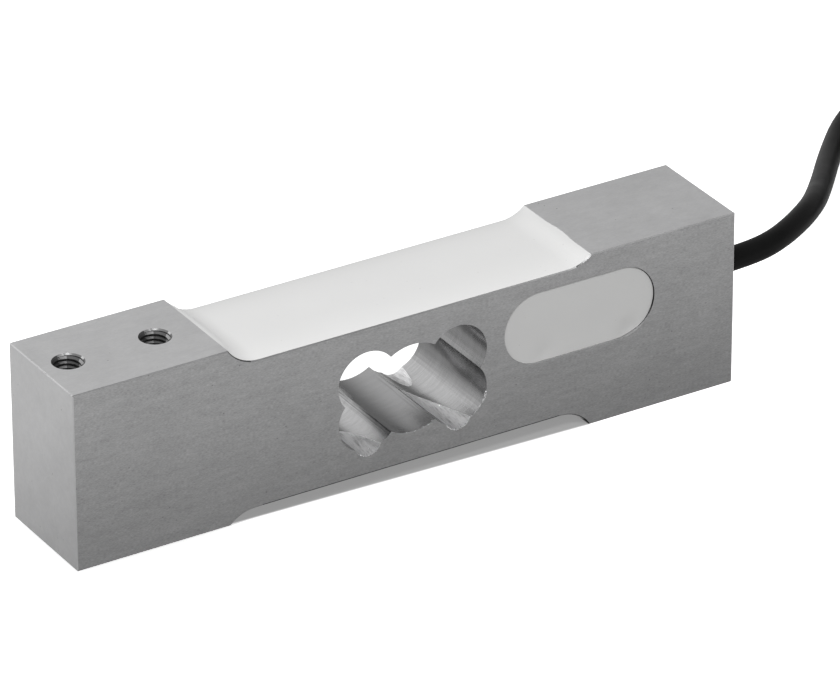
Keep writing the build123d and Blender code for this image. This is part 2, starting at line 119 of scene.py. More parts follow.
# Tool marks: fine lines and broader bands, both drawn out along the tool's way
tool_marks, asked, given = effect_group(
    "tool_marks",
    [
        ("Place", "NodeSocketVector", (0, 0, 0)),
        ("Lines per metre", "NodeSocketVector", (100, 100, 100)),
        ("Band share", "NodeSocketFloat", 0.5),
    ],
    [("Marks", "NodeSocketFloat")],
)
wires = {0: asked["Place"], 1: asked["Lines per metre"]}
drawn = shader_step(tool_marks, "ShaderNodeVectorMath", wires, operation="MULTIPLY").outputs[0]
fine = shader_step(
    tool_marks, "ShaderNodeTexNoise", {"Vector": drawn, "Scale": 1.0, "Detail": 4.0, "Roughness": 0.65}
).outputs["Fac"]
broad = shader_step(
    tool_marks, "ShaderNodeTexNoise", {"Vector": drawn, "Scale": 0.23, "Detail": 2.0, "Roughness": 0.5}
).outputs["Fac"]
tool_marks.links.new(blend(tool_marks, asked["Band share"], fine, broad), given["Marks"])

# Handling: stains, scattered pits, and scratches that follow arcs of a ring about each cell's middle
handling, asked, given = effect_group(
    "handling_marks",
    [("Place", "NodeSocketVector", (0, 0, 0)), ("Stain size", "NodeSocketFloat", 0.008)],
    [("Stains", "NodeSocketFloat"), ("Pits", "NodeSocketFloat"), ("Scratches", "NodeSocketFloat")],
)
pits_per_metre = 420.0
scratches_per_metre = 48.0
scratch_ring = 0.36
stain_scale = sums(handling, "DIVIDE", 1.0, asked["Stain size"])
stains = shader_step(
    handling, "ShaderNodeTexNoise", {"Vector": asked["Place"], "Scale": stain_scale, "Detail": 4.0}
).outputs["Fac"]
cells = shader_step(
    handling, "ShaderNodeTexVoronoi", {"Vector": asked["Place"], "Scale": pits_per_metre}
).outputs["Distance"]
near_pit = sums(handling, "SUBTRACT", 1.0, band(handling, cells, 0.03, 0.09))
rare = shader_step(
    handling, "ShaderNodeTexNoise", {"Vector": asked["Place"], "Scale": 150.0, "Detail": 1.0}
).outputs["Fac"]
pits = sums(handling, "MULTIPLY", near_pit, band(handling, rare, 0.47, 0.57))
swirl = shader_step(
    handling, "ShaderNodeTexVoronoi", {"Vector": asked["Place"], "Scale": scratches_per_metre}
).outputs["Distance"]
off_ring = sums(handling, "ABSOLUTE", sums(handling, "SUBTRACT", swirl, scratch_ring))
thin = sums(handling, "SUBTRACT", 1.0, band(handling, off_ring, 0.001, 0.005))
patchy = shader_step(
    handling, "ShaderNodeTexNoise", {"Vector": asked["Place"], "Scale": 75.0, "Detail": 2.0}
).outputs["Fac"]
scratches = sums(handling, "MULTIPLY", thin, band(handling, patchy, 0.55, 0.68))
handling.links.new(stains, given["Stains"])
handling.links.new(pits, given["Pits"])
handling.links.new(scratches, given["Scratches"])

# File cuts: where the round file has bitten into a lobe's foot, within a hair of the file's own radius
file_r = 3.0 * mm
file_hair = 0.09 * mm
file_cut, asked, given = effect_group(
    "file_cut",
    [
        ("Place", "NodeSocketVector", (0, 0, 0)),
        ("On axis", "NodeSocketVector", (0, 0, 0)),
        ("Way", "NodeSocketVector", (0, 1, 0)),
    ],
    [("Cut", "NodeSocketFloat")],
)
wires = {0: asked["Place"], 1: asked["On axis"]}
offset = shader_step(file_cut, "ShaderNodeVectorMath", wires, operation="SUBTRACT").outputs[0]
wires = {0: offset, 1: asked["Way"]}
across = shader_step(file_cut, "ShaderNodeVectorMath", wires, operation="CROSS_PRODUCT").outputs[0]
aside = shader_step(file_cut, "ShaderNodeVectorMath", {0: across}, operation="LENGTH").outputs["Value"]
off_file = sums(file_cut, "ABSOLUTE", sums(file_cut, "SUBTRACT", aside, file_r))
file_cut.links.new(sums(file_cut, "LESS_THAN", off_file, file_hair), given["Cut"])

# Which lobe, which side (1 is the pocket's), bite at the face, length and lean, as the part has them
lobe_z = cutout_z - lobe_spacing_z / 2
file_room = lobe_r - file_r
front_bite = 1.25 * mm
back_bite = 0.6 * mm
back_reach = 6.0 * mm
filed_reliefs = [
    (-1, 1, front_bite, 8.5 * mm, radians(-10)),
    (1, 1, front_bite, 14.7 * mm, radians(-24)),
    (-1, -1, back_bite, back_reach, 0.0),
    (1, -1, back_bite, back_reach, 0.0),
]

# Where other finishes and painted shade begin: the cut-out with its file cuts, the ridge between a
# lower lobe and the centre bore, the side pocket, the line over the bottom recess, and the four bolt
# holes
cut_reach = lobe_spacing_x / 2 + lobe_r + 0.3 * mm
cut_rise = lobe_spacing_z / 2 + lobe_r + 1.6 * mm
wall_hair = 0.1 * mm
lobe_way = Vector((lobe_spacing_x / 2, -lobe_spacing_z / 2))
ridge_along = (lobe_way.length**2 + centre_hole_r**2 - lobe_r**2) / (2 * lobe_way.length)
ridge_aside = sqrt(centre_hole_r**2 - ridge_along**2)
lobe_way.normalize()
ridge_x = lobe_way.x * ridge_along + lobe_way.y * ridge_aside
ridge_z = cutout_z + lobe_way.y * ridge_along - lobe_way.x * ridge_aside
ridge_reach = 1.3 * mm
pocket_low, pocket_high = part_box("pocket_potting")
pocket_centre = (pocket_low + pocket_high) / 2
pocket_half = (pocket_high - pocket_low) / 2
pocket_hair = 0.05 * mm
low_line_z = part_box("bottom_potting")[1].z + 0.3 * mm
low_line_half = 34.0 * mm
bolt_end_distance = 6.0 * mm
bolt_spacing = 19.0 * mm
bolt_pair_x = bar_high.x - bolt_end_distance - bolt_spacing / 2
bolt_wall_r = 3.04 * mm

# Lines to the metre along each axis, for each tool
pad_lines = (1500, 3000, 3000)
end_lines = (900, 1300, 1300)
fleck_lines = (1500, 5600, 5600)
stroke_lines = (140, 900, 900)
bore_lines = (350, 3400, 350)
file_lines = (3600, 330, 3600)
score_lines = (4200, 50, 4200)

# How bright each cut leaves the metal, with painted light and shade in some of the tones. A bored wall
# is painted lighter in a band where it faces a little towards the load end, and painted darker away
# from there. The edges are broken by hand; at the cable end their tone is a painted highlight, and
# where they face down or lean three ways up it is painted shade. The end face's tone is painted light;
# the centre bore, the line over the bottom recess, the bolt holes' walls and the pocket's wall have
# painted shade.
pad_tone = 0.68
side_tone = 0.395
# The end face is face-milled like the pads; its own tone is painted light, set for the light that falls
# on it
end_face_painted_light_tone = 0.58
bore_tone = 0.48
# Painted shade on bored walls that face away from the painted light band
bore_painted_shade_tone = 0.26
painted_light_lean = 0.38
# Painted shade inside the centre bore
centre_bore_painted_shade_tone = 0.34
filed_tone = 0.9
score_tone = 0.12
edge_tone = 0.6
# Painted highlight on the edges towards the cable end
painted_highlight_edge_tone = 0.96
painted_highlight_from = 35 * mm
# Painted shade on edges that lean three ways and up, as along the recess's bend, in place of their
# highlight
bend_edge_painted_shade_tone = 0.2
# Painted shade on edges that face down and on the line over the bottom recess
low_edge_painted_shade_tone = 0.06
# Painted shade on the bolt holes' walls
hole_wall_painted_shade_tone = 0.16
# Painted shade on the pocket's wall where it doesn't face up
pocket_wall_painted_shade_tone = 0.08
brightest = 0.96
blue_cast = 1.006

# How much the tool marks, stains, pits and scratches change the tone, the gloss and the relief
pad_spread = 0.35
side_spread = 1.5
bore_spread = 0.75
centre_bore_spread = 0.4
filed_spread = 2.2
stroke_share = 0.25
stain_size = 0.011
stain_spread = 0.16
pit_shade = 0.4
scratch_shine = 0.03
face_roughness = 0.34
bore_roughness = 0.2
filed_roughness = 0.48
thread_roughness = 0.5
marks_in_roughness = 0.16
stains_in_roughness = 0.08
pit_depth = 1.5
scratch_depth = 0.5
milled_relief = 0.02 * mm
filed_relief = 0.3 * mm
relief_strength = 0.5


def file_axis(end, side, bite, reach, lean):
    """Where the file's middle line crosses the face, and its direction"""
    lobe_x = cutout_x + end * lobe_spacing_x / 2
    inside_x = lobe_x + file_room * sin(lean)
    inside_z = lobe_z - file_room * cos(lean)
    at_face = Vector((lobe_x, side * bar_low.y, lobe_z - file_room - bite))
    inside = Vector((inside_x, side * (bar_low.y + reach), inside_z))
    return at_face, (inside - at_face).normalized()


def marks_along(tree, place, lines, share):
    """Tool marks with that many lines to the metre along each axis"""
    wires = {"Place": place, "Lines per metre": lines, "Band share": share}
    return use_group(tree, tool_marks, wires)["Marks"]


def brushed_lines(tree, place):
    """The sides' brushing: short flecks over longer, fainter strokes"""
    flecks = marks_along(tree, place, fleck_lines, 0.2)
    strokes = marks_along(tree, place, stroke_lines, 0.3)
    return sums(tree, "MULTIPLY_ADD", sums(tree, "SUBTRACT", strokes, 0.5), stroke_share, flecks)


def size_of(tree, value):
    """A value without its sign"""
    return sums(tree, "ABSOLUTE", value)


def apart(tree, value, middle):
    """How far a value is from a middle, either way"""
    return size_of(tree, sums(tree, "SUBTRACT", value, middle))


def from_axis(tree, first, second):
    """Distance from an axis, out of the two distances across it"""
    squares = sums(tree, "MULTIPLY_ADD", first, first, sums(tree, "MULTIPLY", second, second))
    return sums(tree, "SQRT", squares)


def under(tree, value, limit):
    """A mask of where a value is under its limit"""
    return sums(tree, "LESS_THAN", value, limit)


def meet(tree, *masks):
    """Where all the masks are 1"""
    shared = masks[0]
    for mask in masks[1:]:
        shared = sums(tree, "MULTIPLY", shared, mask)
    return shared


def other(tree, mask):
    """Where the mask is 0"""
    return sums(tree, "SUBTRACT", 1.0, mask)


def layered(tree, value, layers):
    """One value for the whole bar, then each layer's own over it where the layer's mask is 1"""
    for mask, its_own in layers:
        value = blend(tree, mask, value, its_own)
    return value


def cutout_masks(tree, place, at, facing, off_side):
    """The cut-out's walls, and on them the centre bore, the bored walls' painted shade, file cuts and
    scored ridges
    """
    across = apart(tree, at["X"], cutout_x)
    above = apart(tree, at["Z"], cutout_z)
    in_cutout = meet(tree, under(tree, across, cut_reach), under(tree, above, cut_rise))
    bored = meet(tree, in_cutout, off_side)
    off_bore = apart(tree, from_axis(tree, across, above), centre_hole_r)
    # How far a bored wall faces from the painted light band, which leans towards the load end
    off_painted_light = size_of(tree, sums(tree, "ADD", facing["X"], painted_light_lean))
    filed = 0.0
    for relief in filed_reliefs:
        on_axis, way = file_axis(*relief)
        cut = use_group(tree, file_cut, {"Place": place, "On axis": on_axis, "Way": way})["Cut"]
        filed = sums(tree, "MAXIMUM", cut, filed)
    off_ridge = sums(tree, "MAXIMUM", apart(tree, across, ridge_x), apart(tree, at["Z"], ridge_z))
    near_ridge = other(tree, band(tree, off_ridge, 0.0, ridge_reach))
    scores = band(tree, marks_along(tree, place, score_lines, 0.1), 0.5, 0.62)
    return {
        "cut-out": in_cutout,
        "bore": bored,
        "centre bore": meet(tree, bored, under(tree, off_bore, wall_hair)),
        "bore painted shade": band(tree, off_painted_light, 0.2, 0.55),
        "file cut": meet(tree, filed, bored),
        "score": meet(tree, near_ridge, scores, bored),
    }


def hole_masks(tree, at, to_pad):
    """Everything in a bolt hole, threads too, and its plain wall alone"""
    to_pair = sums(tree, "SUBTRACT", size_of(tree, at["X"]), bolt_pair_x)
    to_bolt = sums(tree, "SUBTRACT", size_of(tree, to_pair), bolt_spacing / 2)
    near = under(tree, from_axis(tree, to_bolt, at["Y"]), bolt_wall_r)
    in_hole = meet(tree, near, under(tree, to_pad, 0.95))
    return {"hole": in_hole, "hole wall": meet(tree, in_hole, under(tree, to_pad, 0.2))}


def pocket_mask(tree, at, off_side):
    """The side pocket's wall"""
    along = under(tree, apart(tree, at["X"], pocket_centre.x), pocket_half.x + pocket_hair)
    level = under(tree, apart(tree, at["Z"], pocket_centre.z), pocket_half.z + pocket_hair)
    return meet(tree, along, level, under(tree, at["Y"], 0.0), off_side)


def bar_masks(tree, place, at, facing):
    """What each place on the bar is, by name: how it was cut decides its tone, marks and gloss, and
    some of the masks place painted light and shade
    """
    to_end, to_side, to_pad = [size_of(tree, facing[axis]) for axis in "XYZ"]
    side = band(tree, to_side, 0.9, 0.98)
    off_side = other(tree, side)
    masks = {"side": side, "end": band(tree, to_end, 0.97, 0.99)}
    masks |= cutout_masks(tree, place, at, facing, off_side)
    masks |= hole_masks(tree, at, to_pad)
    masks["pocket wall"] = pocket_mask(tree, at, off_side)
    squarest = sums(tree, "MAXIMUM", sums(tree, "MAXIMUM", to_side, to_end), to_pad)
    masks["edge"] = meet(tree, under(tree, squarest, 0.9), other(tree, masks["cut-out"]))
    three_ways = sums(tree, "MINIMUM", sums(tree, "MINIMUM", to_side, to_end), facing["Z"])
    masks["bend edge"] = sums(tree, "GREATER_THAN", three_ways, 0.15)
    # Where the edges get their painted highlight: from the middle towards the cable end
    masks["bright edge"] = band(tree, at["X"], 0.0, painted_highlight_from)
    # Edges that face down, and the line over the bottom recess, are given painted shade
    masks["low edge"] = under(tree, facing["Z"], -0.05)
    in_line = under(tree, size_of(tree, at["X"]), low_line_half)
    masks["low line"] = meet(tree, under(tree, at["Z"], low_line_z), in_line)
    masks["facing up"] = band(tree, facing["Z"], 0.3, 0.8)
    return masks


def bar_tone(tree, on, marks, worn):
    """How bright the metal is, from the cut, its marks and its wear, and from painted light and shade
    """
    edge_layers = [
        (on["bright edge"], painted_highlight_edge_tone),
        (on["bend edge"], bend_edge_painted_shade_tone),
        (on["low edge"], low_edge_painted_shade_tone),
    ]
    tone_layers = [
        (on["side"], side_tone),
        (on["end"], end_face_painted_light_tone),
        (on["bore"], blend(tree, on["bore painted shade"], bore_tone, bore_painted_shade_tone)),
        (on["centre bore"], centre_bore_painted_shade_tone),
        (on["file cut"], filed_tone),
        (on["edge"], layered(tree, edge_tone, edge_layers)),
        (on["low line"], low_edge_painted_shade_tone),
        (on["hole wall"], hole_wall_painted_shade_tone),
        (on["score"], score_tone),
        # The pocket's wall: painted shade, except where it faces up
        (on["pocket wall"], blend(tree, on["facing up"], pocket_wall_painted_shade_tone, edge_tone)),
    ]
    spread_layers = [
        (on["side"], side_spread),
        (on["bore"], bore_spread),
        (on["centre bore"], centre_bore_spread),
        (on["file cut"], filed_spread),
    ]
    tone = layered(tree, pad_tone, tone_layers)
    spread = layered(tree, pad_spread, spread_layers)
    from_marks = sums(tree, "MULTIPLY_ADD", sums(tree, "SUBTRACT", marks, 0.5), spread, 1.0)
    from_stains = sums(tree, "MULTIPLY_ADD", worn["Stains"], stain_spread, 1 - stain_spread / 2)
    from_pits = sums(tree, "MULTIPLY_ADD", worn["Pits"], -pit_shade, 1.0)
    for share in (from_marks, from_stains, from_pits):
        tone = sums(tree, "MULTIPLY", tone, share)
    return sums(tree, "MULTIPLY_ADD", worn["Scratches"], scratch_shine, tone)


def bar_roughness(tree, on, marks, worn):
    """How satin the metal is"""
    roughness_layers = [
        (on["bore"], bore_roughness),
        (on["file cut"], filed_roughness),
        (on["hole"], thread_roughness),
    ]
    rough = layered(tree, face_roughness, roughness_layers)
    rough = sums(tree, "MULTIPLY_ADD", sums(tree, "SUBTRACT", marks, 0.5), marks_in_roughness, rough)
    return sums(tree, "MULTIPLY_ADD", worn["Stains"], stains_in_roughness, rough)


def bare_metal(name, gain=1.0):
    """Milled aluminium: tone, roughness and relief follow the way each face was cut, and the tone holds
    painted light and shade
    """
    material = bpy.data.materials.new(name)
    material.use_nodes = True
    tree = material.node_tree
    place = shader_step(tree, "ShaderNodeTexCoord").outputs["Object"]
    at = shader_step(tree, "ShaderNodeSeparateXYZ", {0: place}).outputs
    face = shader_step(tree, "ShaderNodeNewGeometry").outputs["True Normal"]
    facing = shader_step(tree, "ShaderNodeSeparateXYZ", {0: face}).outputs
    on = bar_masks(tree, place, at, facing)
    worn = use_group(tree, handling, {"Place": place, "Stain size": stain_size})
    marks_layers = [
        (on["side"], brushed_lines(tree, place)),
        (on["end"], marks_along(tree, place, end_lines, 0.4)),
        (on["bore"], marks_along(tree, place, bore_lines, 0.35)),
        (on["file cut"], marks_along(tree, place, file_lines, 0.4)),
    ]
    marks = layered(tree, marks_along(tree, place, pad_lines, 0.4), marks_layers)
    tone = sums(tree, "MULTIPLY", bar_tone(tree, on, marks, worn), gain)
    tone = sums(tree, "MINIMUM", tone, brightest)
    blue = sums(tree, "MULTIPLY", tone, blue_cast)
    colour = shader_step(tree, "ShaderNodeCombineColor", {0: tone, 1: tone, 2: blue}).outputs[0]
    height = sums(tree, "MULTIPLY_ADD", worn["Pits"], -pit_depth, marks)
    height = sums(tree, "MULTIPLY_ADD", worn["Scratches"], -scratch_depth, height)
    depth = blend(tree, on["file cut"], milled_relief, filed_relief)
    wires = {"Height": height, "Strength": relief_strength, "Distance": depth}
    relief = shader_step(tree, "ShaderNodeBump", wires).outputs["Normal"]
    shader = tree.nodes["Principled BSDF"]
    shader.inputs["Metallic"].default_value = 1.0
    tree.links.new(colour, shader.inputs["Base Color"])
    tree.links.new(bar_roughness(tree, on, marks, worn), shader.inputs["Roughness"])
    tree.links.new(relief, shader.inputs["Normal"])
    return material


def dress(name, material, sharp_from=28):
    """Gives a part its material, and smooth shading except across its sharp edges"""
    mesh = nodes[name].data
    mesh.materials.clear()
    mesh.materials.append(material)
    mesh.shade_smooth()
    mesh.set_sharp_from_angle(angle=radians(sharp_from))


dress("beam", bare_metal("milled_aluminium"))
dressed = {"beam"}

# The threads: M6 in all four blind holes, cut by a tap after the bar was milled. Each is one ridge that
# winds down the hole's wall, with a flat crest, and it fades out at the mouth and at the bottom within
# the lead-in's share of a turn.
thread_pitch = 1.0 * mm
thread_root_r = 3.02 * mm
thread_crest_r = 2.5 * mm
thread_root_width = 0.86 * mm
thread_crest_width = 0.2 * mm
thread_steps = 48
thread_lead_in = 0.25
mouth_depth = 0.05 * mm
load_hole_turns = 16
base_hole_turns = 11
# The threads' metal is darker than the bar's by this gain: painted shade in the holes
tapped_painted_shade_gain = 0.7


def own_mesh(name, form, material):
    """Turns a finished bmesh into a piece that rides on the bar"""
    bmesh.ops.recalc_face_normals(form, faces=form.faces)
    mesh = bpy.data.meshes.new(name)
    form.to_mesh(mesh)
    form.free()
    mesh.materials.append(material)
    mesh.shade_smooth()
    piece = bpy.data.objects.new(name, mesh)
    bpy.context.scene.collection.objects.link(piece)
    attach(piece, "root")
    return piece


def add_thread(form, hole, turns):
    """One right-hand ridge; hole is the matrix of the hole's mouth, with +Z out of it"""
    count = turns * thread_steps
    fade = thread_lead_in * thread_steps
    rings = []
    for step in range(count + 1):
        full = min(1.0, step / fade, (count - step) / fade)
        angle = pi - 2 * pi * step / thread_steps
        depth = -mouth_depth - thread_pitch * (0.5 + step / thread_steps)
        crest = thread_root_r + (thread_crest_r - thread_root_r) * full
        outline = [
            (thread_root_r, thread_root_width / 2),
            (crest, thread_crest_width / 2),
            (crest, -thread_crest_width / 2),
            (thread_root_r, -thread_root_width / 2),
        ]
        ring = []
        for r, height in outline:
            spot = Vector((r * cos(angle), r * sin(angle), depth + height))
            ring.append(form.verts.new(hole @ spot))
        rings.append(ring)
    for ring, following in zip(rings, rings[1:]):
        for k in range(4):
            form.faces.new((ring[k], ring[(k + 1) % 4], following[(k + 1) % 4], following[k]))
    form.faces.new(rings[0])
    form.faces.new(rings[-1])


# The threads' material: the bar's metal, darkened as painted shade
tapped = bare_metal("tapped_aluminium_painted_shade", tapped_painted_shade_gain)
for name, mouth_z, outward, turns in (
    ("load_hole_threads", bar_high.z, 1, load_hole_turns),
    ("base_hole_threads", bar_low.z, -1, base_hole_turns),
):
    form = bmesh.new()
    for k in range(2):
        x = -outward * (bar_high.x - bolt_end_distance - k * bolt_spacing)
        turned = Matrix.Identity(4) if outward > 0 else Matrix.Rotation(pi, 4, "X")
        add_thread(form, Matrix.Translation((x, 0, mouth_z)) @ turned, turns)
    ridges = own_mesh(name, form, tapped)
    ridges.data.set_sharp_from_angle(angle=radians(28))

# The burrs: flakes of aluminium that the file and the boring head left hanging on the lower front edge
# of the cut-out and beside the file's two front cuts. They are part of the bar, torn, each under a
# millimetre, and their tone is brightened past the bar's: partly fresh metal, partly painted glints.
# Each arc has its centre, radius, first and last angle from straight down, how many flakes it holds and
# the largest of them.
left_lobe_x = cutout_x - lobe_spacing_x / 2
right_lobe_x = cutout_x + lobe_spacing_x / 2
front_file_z = lobe_z - file_room - front_bite
burr_arcs = [
    (left_lobe_x, front_file_z, file_r, -45, 62, 18, 0.22 * mm),
    (cutout_x, cutout_z, centre_hole_r, -12, 26, 18, 0.22 * mm),
    (right_lobe_x, front_file_z, file_r, -60, 62, 20, 0.28 * mm),
    (right_lobe_x, lobe_z, lobe_r, 26, 62, 16, 0.22 * mm),
    (right_lobe_x, lobe_z, lobe_r, 58, 78, 24, 0.34 * mm),
]
smallest_flake = 0.35
cut_burr_spacing = 0.55 * mm
cut_burr_sizes = (0.04, 0.11)
flake_stretch = (0.5, 1.7)
flake_tear = (0.7, 1.3)
flake_flatness = (1.0, 0.7, 0.5)
# Brightens the torn metal's tone: partly fresh metal, partly painted glints
torn_and_glint_gain = 2.0
chance = random.Random(7)


def add_flake(form, spot, size):
    """One torn scrap: a crumpled ball, flattened against the wall"""
    scrap = bmesh.ops.create_icosphere(form, subdivisions=1, radius=size)["verts"]
    stretch = [chance.uniform(*flake_stretch) for _ in range(3)]
    lean = Matrix.Rotation(chance.uniform(0, pi), 3, "Y")
    for vert in scrap:
        torn = [part * chance.uniform(*flake_tear) for part in vert.co]
        crushed = [part * longer * flat for part, longer, flat in zip(torn, stretch, flake_flatness)]
        vert.co = spot + lean @ Vector(crushed)


form = bmesh.new()
for centre_x, centre_z, radius, first, last, count, largest in burr_arcs:
    for k in range(count):
        angle = radians(first + (last - first) * (k + chance.uniform(-0.5, 0.5)) / (count - 1))
        spot = Vector((centre_x + radius * sin(angle), bar_low.y, centre_z - radius * cos(angle)))
        add_flake(form, spot, chance.uniform(smallest_flake, 1.0) * largest)
for end, side, bite, reach, lean in filed_reliefs[:2]:
    for k in range(int(reach / cut_burr_spacing)):
        share = chance.uniform(0.02, 0.95)
        from_lobe = file_room + bite * (1 - share)
        half = acos((from_lobe**2 + lobe_r**2 - file_r**2) / (2 * from_lobe * lobe_r))
        angle = lean * share + half
        x = cutout_x + end * lobe_spacing_x / 2 + lobe_r * sin(angle)
        spot = Vector((x, side * (bar_low.y + reach * share), lobe_z - lobe_r * cos(angle)))
        add_flake(form, spot, chance.uniform(*cut_burr_sizes) * mm)
torn_metal_and_glint = bare_metal("torn_aluminium_and_glint", torn_and_glint_gain)
burrs = own_mesh("cutout_burrs", form, torn_metal_and_glint)
burrs.data.shade_flat()

# The nicks: small dents along the top edge of the load end, part of the bar and of the same torn metal,
# brightened partly as painted glints. They lie in clusters, each with its middle, half its length and
# its number.
nick_clusters = [(-3.0, 1.8, 12), (4.0, 6.0, 7), (-9.5, 2.2, 6)]
nick_sizes = (0.04, 0.1)
nick_inset = 0.09 * mm
form = bmesh.new()
for middle, half_length, count in nick_clusters:
    for k in range(count):
        y = (middle + half_length * chance.uniform(-1, 1)) * mm
        spot = Vector((bar_low.x + nick_inset, y, bar_high.z - nick_inset))
        add_flake(form, spot, chance.uniform(*nick_sizes) * mm)
nicks = own_mesh("end_edge_nicks", form, torn_metal_and_glint)
nicks.data.shade_flat()

# The recess silicone: white one-part silicone poured over the gauges, top and bottom. It wets the
# recess's floor out to both long edges, crowns a little between them and climbs both end walls.
recess_corner_r = 8.0 * mm
recess_low, recess_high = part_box("top_potting")
recess_edge = recess_high.x
load_pad_step = 1.7 * mm
base_pad_step = 1.5 * mm
silicone_crown = 0.85 * mm
silicone_feather = 2.0 * mm
silicone_ripple = 0.05 * mm
ripples_per_metre = 110
skin_inset = 0.05 * mm
pad_lap = 0.45 * mm
lap_middle_y = -0.8 * mm
lap_half = 4.6 * mm
lap_rise = 0.05 * mm
lap_waves_per_metre = 900
bottom_lip = 0.25 * mm
bend_steps = 16
floor_steps = 48
skin_steps = 40
silicone_roughness = 0.5
cloud_size = 0.02
cloud_depth = 0.05
dust_depth = 0.12
grain_in_gloss = 0.12
silicone_grain_depth = 0.03 * mm


def silicone(name, tint):
    """Cured silicone: soft sheen, a faint cloud in its white and specks of dust stuck to it"""
    material = bpy.data.materials.new(name)
    material.use_nodes = True
    tree = material.node_tree
    place = shader_step(tree, "ShaderNodeTexCoord").outputs["Object"]
    worn = use_group(tree, handling, {"Place": place, "Stain size": cloud_size})
    skin = shader_step(
        tree, "ShaderNodeTexNoise", {"Vector": place, "Scale": 900.0, "Detail": 3.0, "Roughness": 0.6}
    ).outputs["Fac"]
    cloud = sums(tree, "MULTIPLY_ADD", worn["Stains"], cloud_depth, 1 - cloud_depth / 2)
    dust = sums(tree, "MULTIPLY_ADD", worn["Pits"], -dust_depth, 1.0)
    shade = sums(tree, "MULTIPLY", cloud, dust)
    parts = [sums(tree, "MULTIPLY", shade, part) for part in tint]
    colour = shader_step(tree, "ShaderNodeCombineColor", dict(enumerate(parts))).outputs[0]
    rough = sums(tree, "MULTIPLY_ADD", skin, grain_in_gloss, silicone_roughness - grain_in_gloss / 2)
    relief = shader_step(
        tree, "ShaderNodeBump", {"Height": skin, "Strength": 0.25, "Distance": silicone_grain_depth}
    ).outputs["Normal"]
    shader = tree.nodes["Principled BSDF"]
    tree.links.new(colour, shader.inputs["Base Color"])
    tree.links.new(rough, shader.inputs["Roughness"])
    tree.links.new(relief, shader.inputs["Normal"])
    return material


def recess_walk(level, left_rise, right_rise, up):
    """Points on the recess's floor and the ways out of it, from one block's edge to the other"""
    walk = []
    for end, rise, order in ((-1, left_rise, 1), (1, right_rise, -1)):
        turn = acos(1 - rise / recess_corner_r)
        reach = recess_corner_r * sin(turn)
        bend = []
        for k in range(bend_steps + 1):
            angle = turn * (1 - k / bend_steps)
            x = end * (recess_edge - reach + recess_corner_r * sin(angle))
            z = level + up * recess_corner_r * (1 - cos(angle))
            bend.append((Vector((x, 0, z)), Vector((-end * sin(angle), 0, up * cos(angle)))))
        walk.append(bend[::order])
    left, right = walk
    start, stop = left[-1][0].x, right[0][0].x
    floor = []
    for k in range(1, floor_steps):
        x = start + (stop - start) * k / floor_steps
        floor.append((Vector((x, 0, level)), Vector((0, 0, up))))
    return left + floor + right


def poured_skin(name, walk, half_width, lap, material):
    """A closed skin along the walk: its rim on the metal, a crowned face, a smear over the pad"""
    along = [0.0]
    for (before, _), (point, _) in zip(walk, walk[1:]):
        along.append(along[-1] + (point - before).length)
    form = bmesh.new()
    face_rows, back_rows = [], []
    for row, (point, way) in enumerate(walk):
        from_end = min(along[row], along[-1] - along[row])
        feather = 1 - (1 - min(1.0, from_end / silicone_feather)) ** 2
        last = row in (0, len(walk) - 1)
        face_row, back_row = [], []
        for k in range(skin_steps + 1):
            share = 2 * k / skin_steps - 1
            share = share * (1.5 - 0.5 * abs(share))
            y = share * half_width
            rim = last or k in (0, skin_steps)
            ripple = noise.noise(Vector((point.x, y, 0)) * ripples_per_metre) * silicone_ripple
            rise = (silicone_crown * (1 - share**4) + ripple * (1 - share**2)) * feather
            spot = Vector((point.x, y, point.z)) + way * rise
            if row == len(walk) - 1 and lap:
                smear = max(0.0, 1 - ((y - lap_middle_y) / lap_half) ** 2)
                smear *= 0.75 + 0.25 * noise.noise(Vector((y * lap_waves_per_metre, 0, 0)))
                spot += Vector((lap * smear, 0, lap_rise * smear))
            vert = form.verts.new(spot)
            face_row.append(vert)
            back_row.append(vert if rim else form.verts.new((point.x, y, point.z)))
        face_rows.append(face_row)
        back_rows.append(back_row)
    for rows in (face_rows, back_rows):
        for row, following in zip(rows, rows[1:]):
            for k in range(skin_steps):
                form.faces.new((row[k], row[k + 1], following[k + 1], following[k]))
    skin = own_mesh(name, form, material)
    skin.data.set_sharp_from_angle(angle=radians(60))
    return skin


white_silicone = silicone("white_silicone", (0.83, 0.83, 0.825))
half_skin = recess_high.y - skin_inset
top_level = recess_low.z
top_walk = recess_walk(top_level, bar_high.z - top_level, bar_high.z - load_pad_step - top_level, 1)
top_skin = poured_skin("top_silicone", top_walk, half_skin, pad_lap, white_silicone)
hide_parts("top_potting")
bottom_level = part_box("bottom_potting")[1].z
bottom_walk = recess_walk(bottom_level, bottom_level - base_pad_step, bottom_level - bottom_lip, -1)
bottom_skin = poured_skin("bottom_silicone", bottom_walk, half_skin, 0, white_silicone)
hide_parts("bottom_potting")

# The pocket silicone: the same compound, poured into the side pocket over the compensation board. It
# stands a little below the face, sinks where it shrank at the lower corners and wets the wall unevenly.
# Its tint is darker than the recess silicone's, as painted shade on its upright face.
pocket_r = pocket_half.z
pocket_run = pocket_half.x - pocket_r
pocket_dimples = [
    (50.2 * mm, 18.6 * mm, 2.2 * mm, 0.35 * mm),
    (30.6 * mm, 18.9 * mm, 2.0 * mm, 0.22 * mm),
]
rim_gap = 0.02 * mm
rim_gap_right = 0.08 * mm
rim_gap_top = 0.07 * mm
middle_sink = 0.06 * mm
rim_sink = 0.05 * mm
right_sink = 0.06 * mm
pocket_ripple = 0.04 * mm
pocket_ripples_per_metre = 160
round_steps = 28
straight_steps = 20
ring_shares = (1.0, 0.985, 0.96, 0.92, 0.86, 0.78, 0.68, 0.56, 0.44, 0.32, 0.2, 0.1, 0.04)


